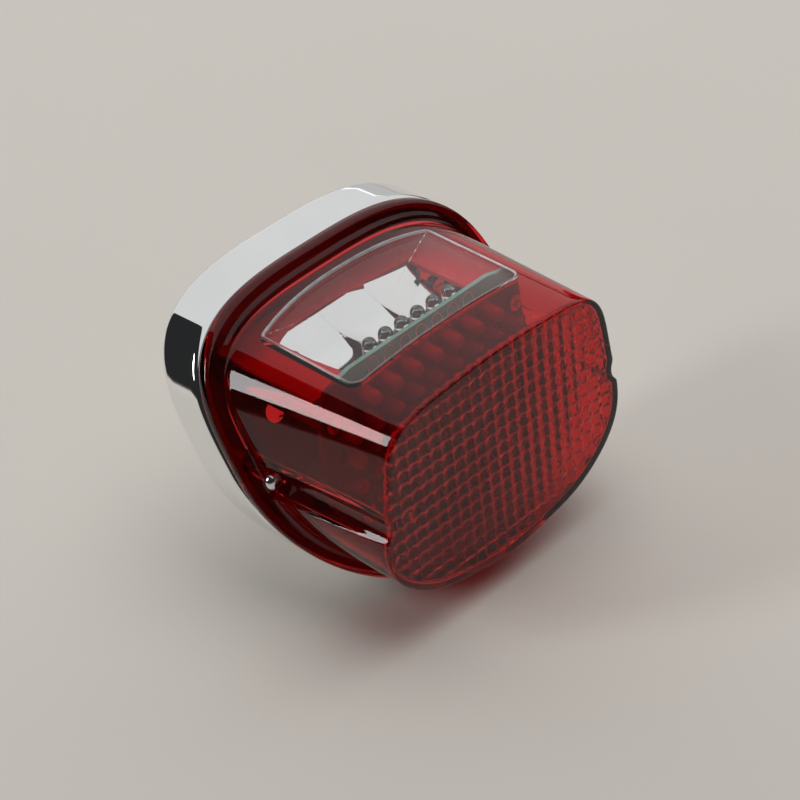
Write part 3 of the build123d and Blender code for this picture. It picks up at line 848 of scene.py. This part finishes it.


# the deck, material slot 1, carries the painted-reflection red
v, f, m = merge([build_deck()] + [build_tongue(c) for c in (-19.2, 0.0, 19.2)])
finish_mesh("plate_reflector_bright", v, f, [M_REFLECT, M_DECK_PAINTED_REFLECTION], m, replaces=["plate_reflector"], sharp=30)
ears = []
for s in (-1, 1):
    x0, x1 = sorted((s * 27.0, s * 37.0))
    bx = [(x0, 14.2), (x1, 14.2), (x1, 27.0), (x0, 27.0)]
    ears.append(prism_y(bx, -13.8, -12.0))
v, f, _ = merge(ears)
finish_mesh("reflector_ears", v, f, [M_REFLECT], replaces=["plate_reflector"])

# ------------------------------------------------------------------ circuit board with copper loops
half = [(0, 33.0), (31, 33.0), (41.5, 30.4), (45, 24), (45.8, 2), (44, -12), (38, -25), (24, -31), (0, -31)]
outline = np.array(half + [(-x, z) for x, z in reversed(half[1:-1])])
bv, bf = prism_y(outline, -40.2, -38.6)
board = finish_mesh("led_board_green", bv, bf, [M_BOARD], body=None, smooth=False)
holes = [lathe([(0, -45), (1.6, -45), (1.6, -35), (0, -35)], np.array([x, 0, z]), (0, 1, 0), 24) for x, z in ((-41, 19), (41, 19), (-30, -20), (30, -20))]
cut(board, holes)
tidy(board, 30)
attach(board, "root"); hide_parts("led_board")


def ribbon(path, width, y_face, t=0.06):
    """Thin raised track on the front of the board along an x, z path."""
    p = np.asarray(path, float)
    g = np.gradient(p, axis=0)
    g /= np.linalg.norm(g, axis=1)[:, None]
    n = np.stack([-g[:, 1], g[:, 0]], 1) * width / 2
    L, Rr = p + n, p - n
    k = len(p)
    v = []
    for y in (y_face, y_face - t):
        for q in (L, Rr):
            v.append(np.stack([q[:, 0], np.full(k, y), q[:, 1]], 1))
    v = np.vstack(v)
    f = []
    for i in range(k - 1):
        a, b, c, d = i, k + i, 2 * k + i, 3 * k + i
        f += [[a, a + 1, b + 1, b], [c, d, d + 1, c + 1], [a, c, c + 1, a + 1], [b, b + 1, d + 1, d]]
    f += [[0, k, 3 * k, 2 * k], [k - 1, 3 * k - 1, 4 * k - 1, 2 * k - 1]]
    return v, f


tracks = []
for i in range(7):
    cx = (i - 3) * 7.14
    a = np.radians(np.linspace(0, 180, 17))
    top = np.stack([cx - 2.3 * np.cos(a), 29.4 + 2.5 * np.sin(a)], 1)
    path = np.vstack([[[cx - 1.7, 24.6]], [[cx - 2.15, 27.0]], top, [[cx + 2.15, 27.0]], [[cx + 1.7, 24.6]]])
    tracks.append(ribbon(path, 0.34, -40.2))
v, f, _ = merge(tracks)
finish_mesh("board_tracks", v, f, [M_COPPER], replaces=["led_board"], sharp=30)

# ------------------------------------------------------------------ clear LEDs for the number plate
leds = []
for i in range(6):
    cx = (i - 2.5) * 7.14
    c = np.array([cx, -35.7, 26.4])
    prof = [(0, 0), (2.75, 0), (2.8, 0.1), (2.8, 0.9), (2.7, 1.0), (2.42, 1.05), (2.4, 1.2), (2.4, 6.2)]
    for a in range(10, 90, 8):
        prof.append((2.4 * math.cos(math.radians(a)), 6.2 + 2.4 * math.sin(math.radians(a))))
    prof.append((0, 8.6))
    leds.append((*lathe(prof, c, (0, 0, 1), 40), 0))
    # lead frame inside: cup on its post, and the bond post beside it
    leds.append((*lathe([(0, 0.6), (0.32, 0.6), (0.32, 3.6), (0.75, 4.0), (0.95, 4.7), (0.8, 4.7), (0.35, 4.25), (0, 4.2)], c + [-1.0, 0, 0], (0, 0, 1), 16), 1))
    leds.append((*lathe([(0, 0.6), (0.3, 0.6), (0.3, 4.2), (0.5, 4.3), (0.5, 4.9), (0, 4.9)], c + [1.25, 0, 0], (0, 0, 1), 12), 1))
    for dx in (-1.27, 1.27):
        z0, z1 = 23.8, 26.4
        for (x0, x1, y0, y1, a0, a1) in ((cx + dx - 0.25, cx + dx + 0.25, -35.95, -35.45, z0, z1), (cx + dx - 0.25, cx + dx + 0.25, -38.6, -35.95, z0, z0 + 0.5)):
            bx = np.array([(x0, a0), (x1, a0), (x1, a1), (x0, a1)])
            leds.append((*prism_y(bx, y0, y1), 1))
v, f, m = merge(leds)
finish_mesh("plate_leds_clear", v, f, [M_LEDCLEAR, M_STEEL], m, replaces=["plate_leds"], sharp=35)

# ------------------------------------------------------------------ CAD pieces that stay, with their materials
KEEP = {"terminal_block": M_BLACK, "terminal_blades": M_BRASS, "screw_seals": M_RUBBER,
        "brake_leds": M_LEDRED, "resistors": M_CHIP, "diodes": M_CHIP, "regulator": M_CHIP, "capacitor": M_CAN,
        "board_header": M_WHITE, "board_standoffs": M_STEEL, "board_screws": M_STEEL, "reflector_screws": M_STEEL,
        "lead_running": M_BROWN, "lead_stop": M_REDPVC, "lead_ground": M_BLKPVC}
for name, material in KEEP.items():
    ob = NODES[name]
    for s in ob.material_slots:
        s.link = "OBJECT"
        s.material = material

# ------------------------------------------------------------------ floor, light, camera
floor_z = cad_lo.z
me = bpy.data.meshes.new("floor")
S = 6.0
me.from_pydata([(-S, -S, floor_z), (S, -S, floor_z), (S, S, floor_z), (-S, S, floor_z)], [], [(0, 1, 2, 3)])
floor = bpy.data.objects.new("floor", me)
bpy.context.scene.collection.objects.link(floor)
mf, nt, b, out = mat("pale_floor")
vv = coords(nt)
nt.links.new(ramp(nt, noise(nt, vv, 3.0, 3), [(0.3, (0.74, 0.70, 0.64)), (0.7, (0.77, 0.73, 0.67))]), b.inputs["Base Color"])
b.inputs["Roughness"].default_value = 0.9
b.inputs["Specular IOR Level"].default_value = 0.2
me.materials.append(mf)


def area(name, loc, look, size, power, colour=(1, 1, 1)):
    d = bpy.data.lights.new(name, "AREA")
    d.shape = "RECTANGLE"
    d.size, d.size_y = size
    d.energy = power
    d.color = colour
    o = bpy.data.objects.new(name, d)
    bpy.context.scene.collection.objects.link(o)
    o.location = loc
    o.rotation_mode = "QUATERNION"
    o.rotation_quaternion = (Vector(look) - Vector(loc)).to_track_quat("-Z", "Y")
    return o


def flat_light(o, seen):
    o.visible_glossy = o.visible_transmission = o.visible_camera = seen


def panel(name, centre, towards, size, radiance, colour=(1, 1, 1)):
    o = area(name, centre, towards, size, radiance * math.pi * size[0] * size[1], colour)
    o.visible_camera = False
    return o


over = panel("soft_overhead", (1.55, 1.25, 1.0), (1.55, 1.25, 0.0), (3.6, 4.3), 0.70)
back = panel("soft_back", (2.6, 3.4, 0.6), (2.6, 0.0, 0.6), (5.6, 1.4), 0.50)
def direction(az, el):
    az, el = math.radians(az), math.radians(el)
    return Vector((math.sin(az) * math.cos(el), math.cos(az) * math.cos(el), math.sin(el)))


k_dir = direction(-57.5, 30.4)
k_up = (direction(-57.5 + 0.39, 31.4) - k_dir).normalized()
key = panel("key_left", tuple(1.3 * k_dir), (0, 0, 0), (0.26, 0.50), 9.5)
k_up = (k_up - k_up.dot(k_dir) * k_dir).normalized()
k_x = k_up.cross(k_dir)
key.rotation_quaternion = Matrix(((k_x[0], k_up[0], k_dir[0]), (k_x[1], k_up[1], k_dir[1]), (k_x[2], k_up[2], k_dir[2]))).to_quaternion()
fill = area("floor_fill", (0.15, -0.25, 1.9), (0, 0, 0), (1.6, 1.6), 11)
flat_light(fill, False)

w = bpy.data.worlds.new("studio")
bpy.context.scene.world = w
w.use_nodes = True
w.node_tree.nodes["Background"].inputs["Color"].default_value = (0.55, 0.56, 0.58, 1)
w.node_tree.nodes["Background"].inputs["Strength"].default_value = 0.04

M = np.array([[0.6890722050163249, -0.7181886338277524, -0.0968740549092823],
              [-0.4740400454540069, -0.34558373792768715, -0.809850551266029],
              [0.5481473630146396, 0.6039676864870789, -0.578582320935874]])
T = np.array([-19.48923783, -10.4436814, 848.54186439])
cam_d = bpy.data.cameras.new("camera")
cam = bpy.data.objects.new("camera", cam_d)
bpy.context.scene.collection.objects.link(cam)
cam_d.sensor_width = 36.0
cam_d.lens = 2600.0 / 800.0 * 36.0
pos = -M.T @ T * MM
rot = Matrix([[M[0][i], -M[1][i], -M[2][i]] for i in range(3)])
cam.matrix_world = Matrix.Translation(Vector(pos.tolist())) @ rot.to_4x4()
cam_d.clip_start, cam_d.clip_end = 0.01, 50
bpy.context.scene.camera = cam

vs = bpy.context.scene.view_settings
vs.view_transform = "Standard"
vs.look = "None"
vs.exposure = 0.0
